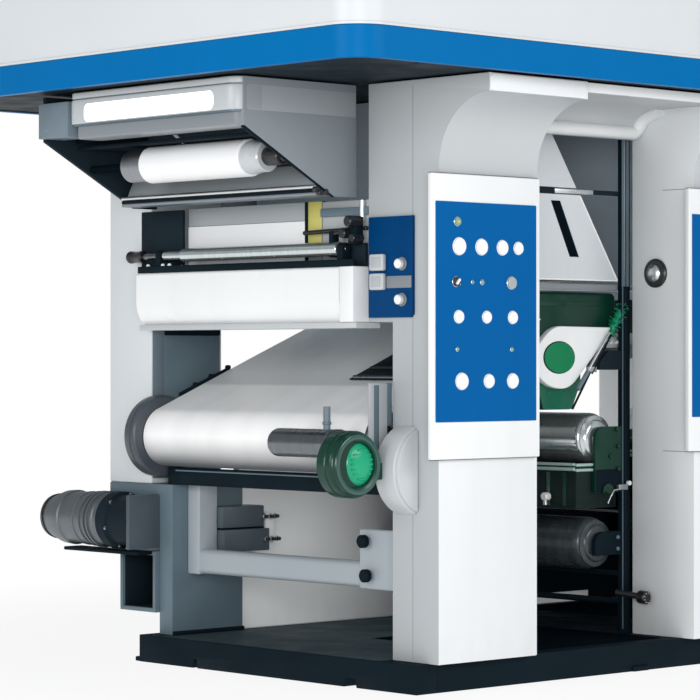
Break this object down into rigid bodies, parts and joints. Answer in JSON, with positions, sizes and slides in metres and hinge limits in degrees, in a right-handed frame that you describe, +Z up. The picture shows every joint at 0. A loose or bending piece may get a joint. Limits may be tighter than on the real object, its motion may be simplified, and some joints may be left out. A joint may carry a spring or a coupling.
{
  "type": "rotogravure printing press",
  "caption": "Rotogravure press with operator columns, button panels, a draw roller with web, turning print and ink rollers, and an overhead dryer canopy.",
  "frame": {"origin": "middle of the machine's overall footprint, on the floor", "axes": "+X along the press away from the web's entry end, +Y from the operator side to the drive side, +Z up"},
  "size_m": [4.64, 2.56, 3.05],
  "materials": {
    "white_paint": "satin",
    "light_grey_paint": "satin",
    "slate_paint": "satin",
    "black_paint": "satin",
    "blue_paint": "satin",
    "green_paint": "gloss",
    "chromed_steel": "polished",
    "dark_rubber": "smooth",
    "dark_steel": "brushed",
    "white_film": "gloss"
  },
  "bodies": {
    "press": {"canopy_housing": "white_paint", "column_cover_1": "white_paint", "column_cover_2": "white_paint", "column_cover_3": "white_paint", "end_beam": "white_paint", "side_boss": "white_paint", "cam_plate_1": "white_paint", "cam_plate_2": "white_paint", "front_column_1": "light_grey_paint", "front_column_2": "light_grey_paint", "front_column_3": "light_grey_paint", "header_1": "light_grey_paint", "header_2": "light_grey_paint", "drive_column_1": "light_grey_paint", "drive_column_2": "light_grey_paint", "drive_column_3": "light_grey_paint", "low_drive_panel_1": "light_grey_paint", "low_drive_panel_2": "light_grey_paint", "hood_shell": "light_grey_paint", "hood_back": "light_grey_paint", "c_frame": "light_grey_paint", "dryer_box_1": "light_grey_paint", "dryer_box_2": "light_grey_paint", "drive_leg_1": "slate_paint", "drive_leg_2": "slate_paint", "drive_leg_3": "slate_paint", "high_drive_panel_1": "slate_paint", "high_drive_panel_2": "slate_paint", "canopy_soffit": "slate_paint", "hood_far_cheek": "slate_paint", "valve_block": "slate_paint", "cable_box": "slate_paint", "plinth": "black_paint", "near_frame_1": "black_paint", "near_frame_2": "black_paint", "far_frame_1": "black_paint", "far_frame_2": "black_paint", "guide_carrier": "black_paint", "web_bar": "black_paint", "canopy_band": "blue_paint", "button_panel_1": "blue_paint", "button_panel_2": "blue_paint", "button_panel_3": "blue_paint", "switch_panel": "blue_paint", "blade_carriage_1": "green_paint", "blade_carriage_2": "green_paint", "ink_pan_1": "green_paint", "ink_pan_2": "green_paint", "drive_housing": "green_paint", "drive_motor": "dark_steel", "side_motor": "dark_steel", "web": "white_film", "web_plate": "white_film"},
    "hood_roller": {"hood_roller": "white_film"},
    "guide_roller": {"guide_roller": "chromed_steel"},
    "draw_roller": {"draw_roller": "dark_steel"},
    "gravure_cylinder_1": {"gravure_cylinder_1": "chromed_steel"},
    "ink_roller_1": {"ink_roller_1": "dark_rubber"},
    "gravure_cylinder_2": {"gravure_cylinder_2": "chromed_steel"},
    "ink_roller_2": {"ink_roller_2": "dark_rubber"}
  },
  "joints": [
    {"name": "hood_roller_spin", "type": "hinge", "parent": "press", "child": "hood_roller", "pos_m": [-1.94, 0, 1.9], "axis": [0, 1, 0], "continuous": true},
    {"name": "guide_roller_spin", "type": "hinge", "parent": "press", "child": "guide_roller", "pos_m": [-1.66, 0, 1.575], "axis": [0, 1, 0], "continuous": true},
    {"name": "draw_roller_spin", "type": "hinge", "parent": "press", "child": "draw_roller", "pos_m": [-1.6075, 0, 0.8775], "axis": [0, 1, 0], "continuous": true},
    {"name": "gravure_cylinder_1_spin", "type": "hinge", "parent": "press", "child": "gravure_cylinder_1", "pos_m": [-0.405, 0, 0.87], "axis": [0, 1, 0], "continuous": true},
    {"name": "ink_roller_1_spin", "type": "hinge", "parent": "press", "child": "ink_roller_1", "pos_m": [-0.405, 0, 0.462], "axis": [0, 1, 0], "continuous": true},
    {"name": "gravure_cylinder_2_spin", "type": "hinge", "parent": "press", "child": "gravure_cylinder_2", "pos_m": [0.965, 0, 0.87], "axis": [0, 1, 0], "continuous": true},
    {"name": "ink_roller_2_spin", "type": "hinge", "parent": "press", "child": "ink_roller_2", "pos_m": [0.965, 0, 0.462], "axis": [0, 1, 0], "continuous": true}
  ]
}
